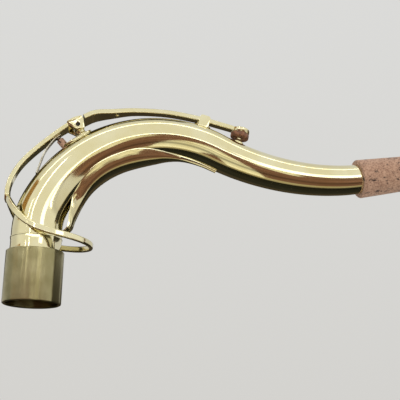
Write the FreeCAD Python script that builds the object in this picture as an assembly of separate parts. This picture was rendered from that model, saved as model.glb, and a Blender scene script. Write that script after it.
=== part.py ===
import FreeCAD, Part
import math
import os

os.makedirs("parts", exist_ok=True)

# Millimetres. The tenon's axis is Z, the shoulder where collar and tenon meet is Z = 0,
# +X runs forward to the mouthpiece end, and the neck is mirror-symmetric about Y = 0.

# Tenon and collar
tenon_diameter = 27.5
tenon_length = 25.0
tenon_wall = 1.5
tenon_chamfer = 0.5
collar_height = 7.0
collar_step = 1.45
collar_lip = 0.15
collar_lip_height = 0.8
collar_cove_depth = 0.45
collar_wall = 0.9
collar_tongue = 5.0
collar_spigot = 3.4
joint_play = 0.03

# Tube: diameters, wall and the arcs of its centre line, from the collar forward
tube_wall = 0.6
tube_heel_diameter = 24.2
tube_cork_diameter = 15.6
tube_tip_diameter = 14.0
start_straight = 4.0
heel_radius = 33.0
heel_angle = 22.0
crown_radius = 64.0
crown_angle = 92.5
rise_radius = 132.0
rise_angle = 29.0
lead_radius = 105.0
lead_angle = 6.0
section_step = 9.0

# Cork on the mouthpiece end
cork_length = 50.0
cork_rear_thickness = 2.4
cork_front_thickness = 1.5
cork_edge = 0.5
bare_tip = 2.0

# Brace under the bend, a trough of sheet that comes to a tip in front and has a foot at its back
brace_thickness = 1.1
brace_rim = 1.3
brace_lift = 3.5
brace_sink = 0.3
brace_half_width = 8.4
brace_height = 5.3

# Shares of the tube's bare length, then of the brace's lift, half width and height
brace_shares = (
    (0.010, 0.00, 0.50, 0.36),
    (0.026, 0.71, 0.54, 0.81),
    (0.050, 1.00, 0.57, 0.98),
    (0.101, 0.60, 0.62, 1.00),
    (0.147, 0.09, 0.70, 0.92),
    (0.197, 0.00, 0.90, 0.81),
    (0.258, 0.00, 1.00, 0.79),
    (0.324, 0.00, 0.96, 0.83),
    (0.379, 0.00, 0.90, 0.87),
    (0.430, 0.00, 0.73, 0.77),
    (0.472, 0.00, 0.50, 0.54),
    (0.515, 0.00, 0.30, 0.36),
    (0.565, 0.00, 0.17, 0.32),
    (0.625, 0.00, 0.10, 0.30),
)
brace_hollow_shares = (0.020, 0.485)

# Hinge of the octave key
hinge_share = 0.274
hinge_height = 5.2
saddle_thickness = 1.0
saddle_back = 11.5
saddle_front = 5.0
saddle_half_width = 5.6
pillar_foot_radius = 3.1
pillar_waist_radius = 2.5
pillar_waist_height = 1.3
pillar_flare_share = 0.3
barrel_radius = 2.5
barrel_length = 8.0
pivot_radius = 1.1
pivot_play = 0.05
screw_head_radius = 1.8
screw_head_height = 1.1
screw_slot = 0.5
screw_recess = 0.5
screw_chamfer = 0.25

# Fork of the key that straddles the barrel: its lens-shaped bridge and the lugs under it, which
# stand back from the bridge's ends. Shares of the reach, along and above the pivot.
fork_width = 12.0
fork_side_play = 0.15
fork_barrel_play = 0.3
fork_reach = 4.4
fork_bridge_thickness = 1.3
fork_bridge_shares = ((-0.93, 0.89), (0.89, 0.70))
fork_lug_inset = 0.4
fork_lug_shares = ((0.93, 0.34), (0.43, -0.73), (-0.43, -0.43), (-1.0, 0.45))

# Long arm to the pad cup: shares of the tube's bare length, then of the arm's height and half width
arm_thickness = 2.4
arm_height = 7.0
arm_half_width = 6.0
arm_shares = (
    (0.290, 1.00, 1.00),
    (0.318, 0.99, 0.93),
    (0.352, 0.83, 0.67),
    (0.400, 0.66, 0.45),
    (0.470, 0.50, 0.40),
    (0.540, 0.51, 0.40),
    (0.590, 0.70, 0.38),
    (0.632, 0.94, 0.37),
)
edge_chamfer = 0.5
rivet_share = 0.361
rivet_radius = 1.0
rivet_height = 0.6
rivet_chamfer = 0.25
rivet_shank_radius = 0.6
rivet_shank = 0.8

# Pad cup, pad and pip, whose axis stands back from the tube's normal by the tilt
pad_share = 0.650
pad_tilt = 9.0
cup_radius = 4.7
cup_wall = 0.6
cup_bevel = 0.25
cup_skirt = 2.1
cup_dome = 0.7
cup_recess = 1.4
pad_radius = 4.8
pad_neck_radius = 4.0
pad_drop = 2.8
pad_ease = 0.3
pad_round = 0.7
pip_height = 2.9
pip_seat_radius = 1.7
pip_seat_cove = 0.12
pip_flange_radius = 3.0
pip_flange_height = 0.9
pip_stem_radius = 1.5
pip_stem_depth = 2.0
pip_bore_radius = 0.8
pad_seat_play = 0.02

# Guide that the long arm runs in
guide_share = 0.551
guide_width = 5.4
guide_prong = 1.4
guide_slot = 5.8
guide_height = 5.4
guide_corner = 1.2
guide_plate = 0.8
guide_plate_reach = 1.8
guide_plate_ease = 0.05

# Arm from the hinge down to the ring: shares of the bare length, the arm's height and half width
ring_arm_thickness = 2.2
ring_arm_height = 9.0
ring_arm_half_width = 4.4
ring_arm_shares = (
    (0.258, 0.89, 1.00),
    (0.232, 0.88, 0.89),
    (0.182, 0.92, 0.82),
    (0.140, 1.00, 0.77),
    (0.107, 0.96, 0.75),
)

# Ring round the neck: an oval in plan, at these gaps from the tube's heel, swept up at its back
ring_back_gap = 2.3
ring_front_gap = 13.3
ring_side_gap = 2.8
ring_strip_height = 3.0
ring_strip_thickness = 1.8
ring_front_height = 4.2
ring_tilt = 5.5
ring_sweep = 17.0
ring_sweep_power = 5
ring_junction_half_width = 4.2
ring_junction_angle = 28.0
ring_seat_width = 7.2
ring_seat_height = 6.0
ring_sections = 17

# Flat spring, its screw and the bumper cork under the arm: shares of the bare length and the spring's height
spring_thickness = 0.4
spring_half_width = 1.9
spring_height = 6.45
spring_shares = ((0.236, 1.00), (0.219, 0.98), (0.190, 0.73), (0.164, 0.33), (0.142, 0.05))
stop_share = 0.229
spring_screw_radius = 1.3
spring_screw_head = 0.8
spring_screw_shank_radius = 0.7
spring_screw_shank = 1.4
spring_screw_end_play = 0.2
bumper_radius = 1.9
bumper_gap = 0.75

# A cut runs past the face that it leaves by this much
overrun = 1.0


def vec(x, y, z):
    return FreeCAD.Vector(x, y, z)


def line_pieces():
    """Length and signed curvature of each piece of the tube's centre line."""
    heel = heel_radius * math.radians(heel_angle)
    crown = crown_radius * math.radians(crown_angle)
    rise = rise_radius * math.radians(rise_angle)
    lead = lead_radius * math.radians(lead_angle)
    return (
        (start_straight, 0),
        (heel, -1 / heel_radius),
        (crown, -1 / crown_radius),
        (rise, 1 / rise_radius),
        (lead, 1 / lead_radius),
    )


bare_length = sum(length for length, _ in line_pieces())
tube_length = bare_length + cork_length + bare_tip


def centre(distance):
    """Point on the centre line and its heading, where the line runs on straight past its ends."""
    x, z, heading = 0, collar_height, math.radians(90)
    left = distance
    for length, bend in line_pieces():
        step = min(left, length)
        if bend == 0:
            x += step * math.cos(heading)
            z += step * math.sin(heading)
        else:
            turned = heading + step * bend
            x += (math.sin(turned) - math.sin(heading)) / bend
            z += (math.cos(heading) - math.cos(turned)) / bend
            heading = turned
        left -= step
        if left <= 0:
            return vec(x, 0, z), heading
    return vec(x + left * math.cos(heading), 0, z + left * math.sin(heading)), heading


def along(heading):
    return vec(math.cos(heading), 0, math.sin(heading))


def outward(heading):
    """Unit vector from the centre line to the outer side of the bend."""
    return vec(-math.sin(heading), 0, math.cos(heading))


def tube_radius(distance):
    """Outer radius: parallel in the collar joint, then two tapers."""
    heel, cork, tip = tube_heel_diameter / 2, tube_cork_diameter / 2, tube_tip_diameter / 2
    if distance <= start_straight:
        return heel
    if distance <= bare_length:
        return heel + (cork - heel) * (distance - start_straight) / (bare_length - start_straight)
    return cork + (tip - cork) * (distance - bare_length) / (tube_length - bare_length)


def above(distance, height):
    """Point over the outer side of the tube at a height above its surface."""
    point, heading = centre(distance)
    return point + outward(heading) * (tube_radius(distance) + height)


def local_frame(distance):
    """Placement with X along the tube, Z outward, and its origin on the tube's outer side."""
    _, heading = centre(distance)
    turn = FreeCAD.Rotation(vec(0, 1, 0), -math.degrees(heading))
    return FreeCAD.Placement(above(distance, 0), turn)


def placed(shape, distance):
    moved = shape.copy()
    moved.Placement = local_frame(distance).multiply(moved.Placement)
    return moved


pad_distance = pad_share * bare_length


def pad_placed(shape):
    """Shape moved to the pad's place, with its axis turned back from the tube's normal."""
    tilted = shape.copy()
    tilted.rotate(vec(0, 0, 0), vec(0, 1, 0), -pad_tilt)
    return placed(tilted, pad_distance)


def ring_wire(distance, radius):
    """Circle across the tube."""
    point, heading = centre(distance)
    return Part.Wire([Part.Circle(point, along(heading), radius).toShape()])


def stations(first, last, step):
    """Even distances from first to last, with the tube's own joints among them."""
    marks = [first, last]
    reach = 0
    for length, _ in line_pieces():
        reach += length
        if first < reach < last:
            marks.append(reach)
    marks.sort()
    places = [first]
    for low, high in zip(marks, marks[1:]):
        count = max(1, math.ceil((high - low) / step))
        places += [low + (high - low) * k / count for k in range(1, count + 1)]
    return places


def tube_core(growth, run_past):
    """Solid of the tube's outer form, grown by growth, that runs past its ends by run_past."""
    places = stations(0, tube_length, section_step)
    if run_past:
        places = [-run_past, *places, tube_length + run_past]
    return Part.makeLoft([ring_wire(d, tube_radius(max(d, 0)) + growth) for d in places], True, False)


def revolved(points, closed_by_axis):
    """Solid of revolution about Z from (radius, height) points, arcs given as triples."""
    edges = []
    here = vec(points[0][0], 0, points[0][1])
    for item in points[1:]:
        end = vec(item[0], 0, item[1])
        if len(item) == 4:
            edges.append(Part.Arc(here, vec(item[2], 0, item[3]), end).toShape())
        else:
            edges.append(Part.LineSegment(here, end).toShape())
        here = end
    first = vec(points[0][0], 0, points[0][1])
    if closed_by_axis:
        foot = vec(0, 0, here.z)
        top = vec(0, 0, first.z)
        edges.append(Part.LineSegment(here, foot).toShape())
        edges.append(Part.LineSegment(foot, top).toShape())
        edges.append(Part.LineSegment(top, first).toShape())
    else:
        edges.append(Part.LineSegment(here, first).toShape())
    face = Part.Face(Part.Wire(edges))
    return face.revolve(vec(0, 0, 0), vec(0, 0, 1), 360)


def strip_section(point, side, up, width, height):
    """Chamfered rectangle round a point, its edges along side and up."""
    across, tall = width / 2, height / 2
    cut = min(edge_chamfer, tall / 2, across / 2)
    corners = (
        (across, tall - cut), (across - cut, tall), (cut - across, tall), (-across, tall - cut),
        (-across, cut - tall), (cut - across, -tall), (across - cut, -tall), (across, cut - tall),
    )
    ring = [point + side * a + up * b for a, b in corners]
    return Part.makePolygon(ring + ring[:1])


def curve_through(points):
    curve = Part.BSplineCurve()
    curve.interpolate(points)
    return curve


def tube_places(shares, height, half_width):
    """Points over the tube, with half widths, from shares of its length, a height and a half width."""
    return [(above(place * bare_length, height * up), half_width * wide) for place, up, wide in shares]


def height_at(shares, height, share):
    """Height over the tube at a share of its length, between the two places that hold it."""
    for first, second in zip(shares, shares[1:]):
        low, high = sorted((first, second))
        if low[0] <= share <= high[0]:
            return height * (low[1] + (high[1] - low[1]) * (share - low[0]) / (high[0] - low[0]))
    return height * shares[0][1]


def arm_strip(places, thickness):
    """Strip in the plane of symmetry through (point, half width) places."""
    path = curve_through([point for point, _ in places])
    widths = curve_through([vec(k, half, 0) for k, (_, half) in enumerate(places)])
    count = len(places) * 2
    sections = []
    for k in range(count + 1):
        at = path.FirstParameter + (path.LastParameter - path.FirstParameter) * k / count
        spot = widths.FirstParameter + (widths.LastParameter - widths.FirstParameter) * k / count
        up = path.tangent(at)[0].cross(vec(0, 1, 0))
        sections.append(strip_section(path.value(at), vec(0, 1, 0), up, widths.value(spot).y * 2, thickness))
    return Part.makeLoft(sections, True, False)


def make_tenon_sleeve():
    outer = tenon_diameter / 2
    inner = outer - tenon_wall
    profile = [
        (inner, -tenon_length + tenon_chamfer),
        (inner + tenon_chamfer, -tenon_length),
        (outer - tenon_chamfer, -tenon_length),
        (outer, -tenon_length + tenon_chamfer),
        (outer, 0),
        (inner, 0),
    ]
    return revolved(profile, False)


def make_tenon_collar():
    """Coved ring with a tongue down into the tenon and a spigot up into the tube."""
    base = tenon_diameter / 2 - collar_step
    lip = tube_heel_diameter / 2 + collar_lip
    cove = base - collar_cove_depth
    tongue = tenon_diameter / 2 - tenon_wall - joint_play
    spigot = tube_heel_diameter / 2 - tube_wall - joint_play
    bore = min(tongue, spigot) - collar_wall
    lip_foot = collar_height - collar_lip_height
    profile = [
        (bore, -collar_tongue),
        (tongue, -collar_tongue),
        (tongue, 0),
        (base, 0),
        (lip, lip_foot, cove, lip_foot / 2),
        (lip, collar_height),
        (spigot, collar_height),
        (spigot, collar_height + collar_spigot),
        (bore, collar_height + collar_spigot),
    ]
    return revolved(profile, False)


def make_neck_tube():
    """Tapered tube from collar to tip, bored through and drilled for the pip's stem."""
    tube = tube_core(0, 0).cut(tube_core(-tube_wall, overrun))
    depth = pip_stem_depth + overrun
    drill = Part.makeCylinder(pip_stem_radius + joint_play, depth, vec(0, 0, -pip_stem_depth))
    return tube.cut(pad_placed(drill))


def make_neck_cork():
    """Sleeve on the straight end, thicker at its back, with eased edges."""
    inner_rear = tube_radius(bare_length) + joint_play
    inner_front = tube_radius(bare_length + cork_length) + joint_play
    outer_rear = tube_radius(bare_length) + cork_rear_thickness
    outer_front = tube_radius(bare_length + cork_length) + cork_front_thickness
    profile = [
        (inner_rear, 0),
        (outer_rear - cork_edge, 0),
        (outer_rear, cork_edge),
        (outer_front, cork_length - cork_edge),
        (outer_front - cork_edge, cork_length),
        (inner_front, cork_length),
    ]
    sleeve = revolved(profile, False)
    point, heading = centre(bare_length)
    turn = FreeCAD.Rotation(vec(0, 1, 0), 90 - math.degrees(heading))
    sleeve.Placement = FreeCAD.Placement(point, turn)
    return sleeve


def brace_section(shares, inset):
    """Section of the brace, or with an inset of the hollow in it: straight rims under an arch."""
    place, lift, width, height = shares
    point, heading = centre(place * bare_length)
    down = outward(heading) * -1
    radius = tube_radius(place * bare_length)
    half = brace_half_width * width
    crest = brace_height * height
    foot = math.sqrt((radius + brace_lift * lift - brace_sink) ** 2 - half ** 2)
    low = point + down * (foot - inset)
    high = point + down * (foot + brace_rim)
    side = vec(0, half - inset, 0)
    arch = Part.Arc(high + side, point + down * (radius + crest - inset), high - side)
    edges = [
        Part.LineSegment(low - side, low + side).toShape(),
        Part.LineSegment(low + side, high + side).toShape(),
        arch.toShape(),
        Part.LineSegment(high - side, low - side).toShape(),
    ]
    return Part.Wire(edges)


def make_underbrace():
    """Sheet trough on the inner side of the bend, seated on the tube along its rims."""
    shell = Part.makeLoft([brace_section(shares, 0) for shares in brace_shares], True, False)
    first, last = brace_hollow_shares
    hollow_shares = [shares for shares in brace_shares if first < shares[0] < last]
    hollow = Part.makeLoft([brace_section(shares, brace_thickness) for shares in hollow_shares], True, False)
    return shell.cut(hollow).cut(tube_core(joint_play, 0))


def rounded_plate(back, front, half, low, high):
    """Plate with half-round ends, along local X from -back to front."""
    ends = ((front - half, 1), (half - back, -1))
    corners = [vec(ends[1][0], half, low), vec(ends[0][0], half, low)]
    mirror = [vec(ends[0][0], -half, low), vec(ends[1][0], -half, low)]
    edges = [
        Part.LineSegment(corners[0], corners[1]).toShape(),
        Part.Arc(corners[1], vec(front, 0, low), mirror[0]).toShape(),
        Part.LineSegment(mirror[0], mirror[1]).toShape(),
        Part.Arc(mirror[1], vec(-back, 0, low), corners[0]).toShape(),
    ]
    return Part.Face(Part.Wire(edges)).extrude(vec(0, 0, high - low))


def tube_plate(distance, back, front, half, thickness):
    """Plate of even thickness bent to the tube's outer side."""
    blank = placed(rounded_plate(back, front, half, -tube_radius(distance), thickness + overrun), distance)
    return tube_core(thickness, 0).common(blank).cut(tube_core(joint_play, 0))


hinge_distance = hinge_share * bare_length
hinge_axis = above(hinge_distance, hinge_height)


def make_hinge_saddle():
    return tube_plate(hinge_distance, saddle_back, saddle_front, saddle_half_width, saddle_thickness)


def make_hinge_pillar():
    """Turned pillar on the saddle, waisted below a cross barrel that is drilled for the pivot."""
    waist = saddle_thickness + pillar_waist_height
    flare = (pillar_foot_radius - pillar_waist_radius) * pillar_flare_share
    profile = [
        (pillar_waist_radius, hinge_height),
        (pillar_waist_radius, waist),
        (pillar_foot_radius, saddle_thickness, pillar_waist_radius + flare, saddle_thickness + flare),
        (pillar_foot_radius, -saddle_thickness),
    ]
    post = placed(revolved(profile, True), hinge_distance)
    post = post.cut(tube_core(saddle_thickness, 0))
    start = hinge_axis - vec(0, barrel_length / 2, 0)
    barrel = Part.makeCylinder(barrel_radius, barrel_length, start, vec(0, 1, 0))
    barrel = barrel.makeChamfer(screw_chamfer, barrel.Edges)
    through = barrel_length + overrun * 2
    drill = Part.makeCylinder(pivot_radius + pivot_play, through, start - vec(0, overrun, 0), vec(0, 1, 0))
    return post.fuse(barrel).cut(drill).removeSplitter()


def fork_points(shares):
    return [vec(fork_reach * place, 0, hinge_height + fork_reach * up) for place, up in shares]


def fork_block(inset):
    """The fork before its slot is cut: the bridge, and under it the lugs, narrower by inset at each side."""
    back, front = fork_points(fork_bridge_shares)
    middle = (back + front) / 2
    bow = vec(0, 0, fork_bridge_thickness / 2)
    over = Part.Arc(back, middle + bow, front)
    under = Part.Arc(front, middle - bow, back)
    lug = Part.makePolygon([back, front, *fork_points(fork_lug_shares), back])
    bridge = Part.Wire([over.toShape(), under.toShape()])
    solids = []
    for outline, half in ((bridge, fork_width / 2), (lug, fork_width / 2 - inset)):
        face = Part.Face(outline)
        face.translate(vec(0, -half, 0))
        solids.append(face.extrude(vec(0, half * 2, 0)))
    return placed(solids[0].fuse(solids[1]).removeSplitter(), hinge_distance)


def make_hinge_fork():
    """Two lugs under a bridge, slotted for the barrel and bored for the pivot."""
    slot = barrel_length + fork_side_play * 2
    reach = fork_reach * 2
    hollow = Part.makeBox(reach * 2, slot, reach)
    ceiling = hinge_height + barrel_radius + fork_barrel_play
    hollow.translate(vec(-reach, -slot / 2, ceiling - reach))
    start = vec(0, -fork_width / 2 - overrun, hinge_height)
    drill = Part.makeCylinder(pivot_radius, fork_width + overrun * 2, start, vec(0, 1, 0))
    return fork_block(fork_lug_inset).cut(placed(hollow.fuse(drill), hinge_distance)).removeSplitter()


def make_hinge_screw():
    """Pivot screw: its end lies back in the near lug and its slotted head is on the far one."""
    far = fork_width / 2 - fork_lug_inset
    near = screw_recess - far
    shank = Part.makeCylinder(pivot_radius, far - near, vec(0, near, hinge_height), vec(0, 1, 0))
    head = Part.makeCylinder(screw_head_radius, screw_head_height, vec(0, far, hinge_height), vec(0, 1, 0))
    head = head.makeChamfer(screw_chamfer, [head.Edges[0]])
    half = screw_head_radius + overrun
    slot = Part.makeBox(half * 2, screw_head_height, screw_slot)
    slot.translate(vec(-half, far + screw_head_height / 2, hinge_height - screw_slot / 2))
    return placed(shank.fuse(head).cut(slot).removeSplitter(), hinge_distance)


cup_bottom = pip_height + pad_seat_play + pad_drop


def cup_space():
    """Space of the cup and the pad under it, to which the long arm is trimmed."""
    height = cup_bottom + cup_skirt + cup_dome
    return pad_placed(Part.makeCylinder(cup_radius, height))


def rivet_form(play):
    """Low-headed rivet in the underside of the long arm, grown by play for the bore that takes it."""
    low = height_at(arm_shares, arm_height, rivet_share) - arm_thickness / 2
    head = Part.makeCylinder(rivet_radius + play, rivet_height, vec(0, 0, low - rivet_height))
    head = head.makeChamfer(rivet_chamfer, [head.Edges[2]])
    shank = Part.makeCylinder(rivet_shank_radius + play, rivet_shank, vec(0, 0, low))
    return placed(head.fuse(shank).removeSplitter(), rivet_share * bare_length)


def make_long_arm():
    """Strip from the fork to the cup, bored on its underside for the rivet."""
    arm = arm_strip(tube_places(arm_shares, arm_height, arm_half_width), arm_thickness)
    return arm.cut(fork_block(0)).cut(cup_space()).cut(rivet_form(joint_play))


def make_arm_rivet():
    return rivet_form(0)


def make_pad_cup():
    """Domed cup with a recess for the pad."""
    top = cup_bottom + cup_skirt
    inner = cup_radius - cup_wall
    ceiling = cup_bottom + cup_recess
    profile = [
        (cup_radius - cup_bevel, cup_bottom),
        (inner, cup_bottom),
        (inner, ceiling),
        (0, ceiling),
        (0, top + cup_dome),
        (cup_radius, top, cup_radius / 2, top + cup_dome * 3 / 4),
        (cup_radius, cup_bottom + cup_bevel),
    ]
    return pad_placed(revolved(profile, False))


def make_octave_pad():
    """Round pad with eased edges under the cup's rim, its narrower back in the cup's recess."""
    low = pip_height + pad_seat_play
    ease = pad_round * (1 - math.cos(math.pi / 4))
    profile = [
        (pad_neck_radius, cup_bottom + cup_recess),
        (pad_neck_radius, cup_bottom),
        (pad_radius - pad_ease, cup_bottom),
        (pad_radius, cup_bottom - pad_ease),
        (pad_radius, low + pad_round),
        (pad_radius - pad_round, low, pad_radius - ease, low + ease),
    ]
    return pad_placed(revolved(profile, True))


def make_octave_pip():
    """Turned pip: flange bent to the tube, raised seat square to the pad, and a stem into the bore."""
    shoulder = pip_flange_height
    flange_profile = [
        (pip_seat_radius, shoulder),
        (pip_flange_radius, shoulder / 2),
        (pip_flange_radius, -shoulder),
    ]
    waist = pip_seat_radius - pip_seat_cove
    seat_profile = [
        (pip_seat_radius, pip_height),
        (pip_seat_radius, shoulder, waist, (pip_height + shoulder) / 2),
        (pip_seat_radius, -shoulder),
    ]
    body = placed(revolved(flange_profile, True), pad_distance).fuse(pad_placed(revolved(seat_profile, True)))
    body = body.cut(tube_core(joint_play, 0))
    stem_length = pip_stem_depth + shoulder / 2
    stem = Part.makeCylinder(pip_stem_radius, stem_length, vec(0, 0, -pip_stem_depth))
    bore_length = pip_height + pip_stem_depth + overrun * 2
    bore = Part.makeCylinder(pip_bore_radius, bore_length, vec(0, 0, -pip_stem_depth - overrun))
    return body.fuse(pad_placed(stem)).cut(pad_placed(bore)).removeSplitter()


def make_octave_guide():
    """Two prongs with rounded corners on a bent plate, which the long arm runs between."""
    distance = guide_share * bare_length
    half = guide_width / 2
    plate_half = half + guide_plate_reach
    guide = tube_plate(distance, plate_half, plate_half, plate_half - guide_plate_ease, guide_plate)
    flat = half - guide_corner
    shoulder = guide_height - guide_corner
    bulge = guide_corner * math.cos(math.pi / 4)
    corners = [vec(-half, 0, shoulder), vec(-half, 0, -half), vec(half, 0, -half), vec(half, 0, shoulder)]
    top = [vec(flat, 0, guide_height), vec(-flat, 0, guide_height)]
    edges = [Part.LineSegment(a, b).toShape() for a, b in zip(corners, corners[1:])]
    edges.append(Part.Arc(corners[-1], vec(flat + bulge, 0, shoulder + bulge), top[0]).toShape())
    edges.append(Part.LineSegment(*top).toShape())
    edges.append(Part.Arc(top[-1], vec(-flat - bulge, 0, shoulder + bulge), corners[0]).toShape())
    prong = Part.Face(Part.Wire(edges)).extrude(vec(0, guide_prong, 0))
    for start in (guide_slot / 2, -guide_slot / 2 - guide_prong):
        side = prong.copy()
        side.translate(vec(0, start, 0))
        guide = guide.fuse(placed(side, distance))
    return guide.cut(tube_core(joint_play, 0)).removeSplitter()


def ring_place(angle):
    """Point of the ring's middle line, angle from its back round to its front."""
    heel = (tube_heel_diameter + ring_strip_thickness) / 2
    middle = (ring_front_gap - ring_back_gap) / 2
    reach = heel + (ring_front_gap + ring_back_gap) / 2
    rise = (1 + math.cos(angle)) / 2
    height = ring_front_height + ring_tilt * rise + ring_sweep * rise ** ring_sweep_power
    return vec(middle - reach * math.cos(angle), -(heel + ring_side_gap) * math.sin(angle), height)


def ring_section(angle, width, height):
    """Strip section square to the ring's middle line, its top edge level with the ring's."""
    step = math.radians(1)
    tangent = (ring_place(angle + step) - ring_place(angle - step)).normalize()
    side = tangent.cross(vec(0, 0, 1)).normalize()
    up = side.cross(tangent)
    middle = ring_place(angle) + up * ((ring_strip_height - height) / 2)
    return strip_section(middle, side, up, width, height)


def make_key_ring():
    """Closed strip round the neck, made of two mirrored halves."""
    sections = []
    for k in range(ring_sections):
        angle = math.pi * k / (ring_sections - 1)
        sections.append(ring_section(angle, ring_strip_thickness, ring_strip_height))
    near = Part.makeLoft(sections, True, False)
    far = near.mirror(vec(0, 0, 0), vec(0, 1, 0))
    return near.fuse(far).removeSplitter()


def ring_seat():
    """Broad solid whose top follows the top edge of the ring's back, on which the arm ends."""
    sections = []
    for k in (-2, -1, 0, 1, 2):
        angle = math.radians(ring_junction_angle) * k / 2
        sections.append(ring_section(angle, ring_seat_width, ring_seat_height))
    return Part.makeLoft(sections, True, False)


def spring_screw_hole():
    """Bore for the spring's screw through the spring and into the arm."""
    low = height_at(spring_shares, spring_height, stop_share) - spring_thickness / 2 - overrun
    depth = spring_screw_shank + spring_screw_end_play + overrun
    bore = Part.makeCylinder(spring_screw_shank_radius + joint_play, depth, vec(0, 0, low))
    return placed(bore, stop_share * bare_length)


def make_ring_arm():
    """Strip from the fork down to the back of the ring, on whose top edge it ends."""
    top = ring_place(0) + vec(0, 0, ring_strip_height / 2)
    rise = vec(0, 0, ring_strip_height)
    places = tube_places(ring_arm_shares, ring_arm_height, ring_arm_half_width)
    places.append((top + rise, places[-1][1]))
    places.append((top, ring_junction_half_width))
    places.append((top - rise, ring_junction_half_width))
    arm = arm_strip(places, ring_arm_thickness)
    return arm.cut(fork_block(0)).cut(ring_seat()).cut(spring_screw_hole())


def make_flat_spring():
    """Thin leaf from the arm's underside to the tube, bored for its screw."""
    shares = [(place, up, 1) for place, up in spring_shares]
    places = tube_places(shares, spring_height, spring_half_width)
    return arm_strip(places, spring_thickness).cut(spring_screw_hole())


def make_spring_screw():
    """Screw that holds the spring to the arm, its head on the spring's underside."""
    low = height_at(spring_shares, spring_height, stop_share) - spring_thickness / 2
    head = Part.makeCylinder(spring_screw_radius, spring_screw_head, vec(0, 0, low - spring_screw_head))
    shank = Part.makeCylinder(spring_screw_shank_radius, spring_screw_shank, vec(0, 0, low))
    return placed(head.fuse(shank).removeSplitter(), stop_share * bare_length)


def make_bumper_cork():
    """Cork stop on the tail of the saddle, under the spring's screw."""
    under = height_at(spring_shares, spring_height, stop_share) - spring_thickness / 2
    top = under - spring_screw_head - bumper_gap
    blank = Part.makeCylinder(bumper_radius, top + bumper_radius, vec(0, 0, -bumper_radius))
    return placed(blank, stop_share * bare_length).cut(tube_core(saddle_thickness + joint_play, 0))


makers = {
    "tenon_sleeve": make_tenon_sleeve,
    "tenon_collar": make_tenon_collar,
    "neck_tube": make_neck_tube,
    "neck_cork": make_neck_cork,
    "underbrace": make_underbrace,
    "hinge_saddle": make_hinge_saddle,
    "hinge_pillar": make_hinge_pillar,
    "octave_pip": make_octave_pip,
    "octave_guide": make_octave_guide,
    "bumper_cork": make_bumper_cork,
    "hinge_fork": make_hinge_fork,
    "hinge_screw": make_hinge_screw,
    "long_arm": make_long_arm,
    "arm_rivet": make_arm_rivet,
    "pad_cup": make_pad_cup,
    "octave_pad": make_octave_pad,
    "ring_arm": make_ring_arm,
    "key_ring": make_key_ring,
    "flat_spring": make_flat_spring,
    "spring_screw": make_spring_screw,
}

for name, make in makers.items():
    shape = make()
    print(name, shape.isValid(), len(shape.Solids), round(shape.Volume, 1))
    shape.exportStep("parts/" + name + ".step")
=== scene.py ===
"""Looks of a tenor saxophone neck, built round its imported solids.

The neck is a bent and tapered brass tube with a bare tenon, a corked mouthpiece end, a brace
under its bend and a sprung octave key. Lengths are written in millimetres and turned to metres
where a mesh is made. The tenon's axis is Z and +X runs to the mouthpiece end.
"""

import logging
import math
from dataclasses import dataclass
from enum import Enum
from typing import Sequence

import bmesh
import bpy
from mathutils import Matrix, Vector, noise


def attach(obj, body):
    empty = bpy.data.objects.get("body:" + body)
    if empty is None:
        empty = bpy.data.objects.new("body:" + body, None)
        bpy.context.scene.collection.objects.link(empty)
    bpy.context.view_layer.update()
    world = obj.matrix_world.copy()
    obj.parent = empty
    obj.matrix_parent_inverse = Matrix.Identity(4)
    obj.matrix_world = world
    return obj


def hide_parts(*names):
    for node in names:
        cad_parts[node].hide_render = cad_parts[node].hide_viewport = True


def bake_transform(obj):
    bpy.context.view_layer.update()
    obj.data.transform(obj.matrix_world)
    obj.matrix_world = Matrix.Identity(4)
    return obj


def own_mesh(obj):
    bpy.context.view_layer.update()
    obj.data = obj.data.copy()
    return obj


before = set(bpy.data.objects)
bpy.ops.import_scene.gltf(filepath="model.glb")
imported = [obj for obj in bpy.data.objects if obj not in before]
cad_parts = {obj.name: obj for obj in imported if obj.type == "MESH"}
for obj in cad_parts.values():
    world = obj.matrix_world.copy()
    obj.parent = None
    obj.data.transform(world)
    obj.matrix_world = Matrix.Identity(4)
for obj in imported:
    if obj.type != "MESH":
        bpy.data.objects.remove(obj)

MM = 0.001
# Width of the photograph in pixels and of the camera's sensor in millimetres
IMAGE_WIDTH = 400
SENSOR_WIDTH = 36.0
# Points of a new mesh, and of a solid's, that are nearer than these millimetres are one
WELD = 0.0005
SOLID_WELD = 0.002
# Faces of a solid's mesh that turn less than these degrees are one flat
FLAT_DEGREES = 0.5
# Shares of a strip's straight sides that get a point
SIDE_POINTS = (0.08, 0.36, 0.64, 0.92)
# Ends of the cards' painted bands along Y, and the height of the cards' foot, in metres
NEAR, FAR = -0.4, 0.6
CARD_FOOT = -0.1
log = logging.getLogger("neck")

Ring = list[Vector]
Outline = list[tuple[float, float]]
Bands = tuple[tuple[float, str], ...]
Corners = tuple[tuple[float, float, float], ...]


class Body(Enum):
    """The two rigid bodies that pieces ride on."""

    NECK = "neck"
    KEY = "octave_key"


class Slot(Enum):
    """Material slots of the part's record."""

    LACQUERED = "lacquered_brass"
    RAW = "raw_brass"
    CORK = "cork"
    PAD = "pad_leather"
    SPRING = "spring_steel"
    SCREW = "screw_steel"


# Materials


def linear(colour: str) -> tuple[float, float, float, float]:
    """Turn an sRGB hex colour to linear light.

    Args:
        colour: Six hex digits after a hash.

    Returns:
        Red, green, blue and an alpha of one.
    """
    parts = [int(colour[k : k + 2], 16) / 255 for k in (1, 3, 5)]
    low = [p / 12.92 if p <= 0.04045 else ((p + 0.055) / 1.055) ** 2.4 for p in parts]
    return (low[0], low[1], low[2], 1.0)


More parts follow.
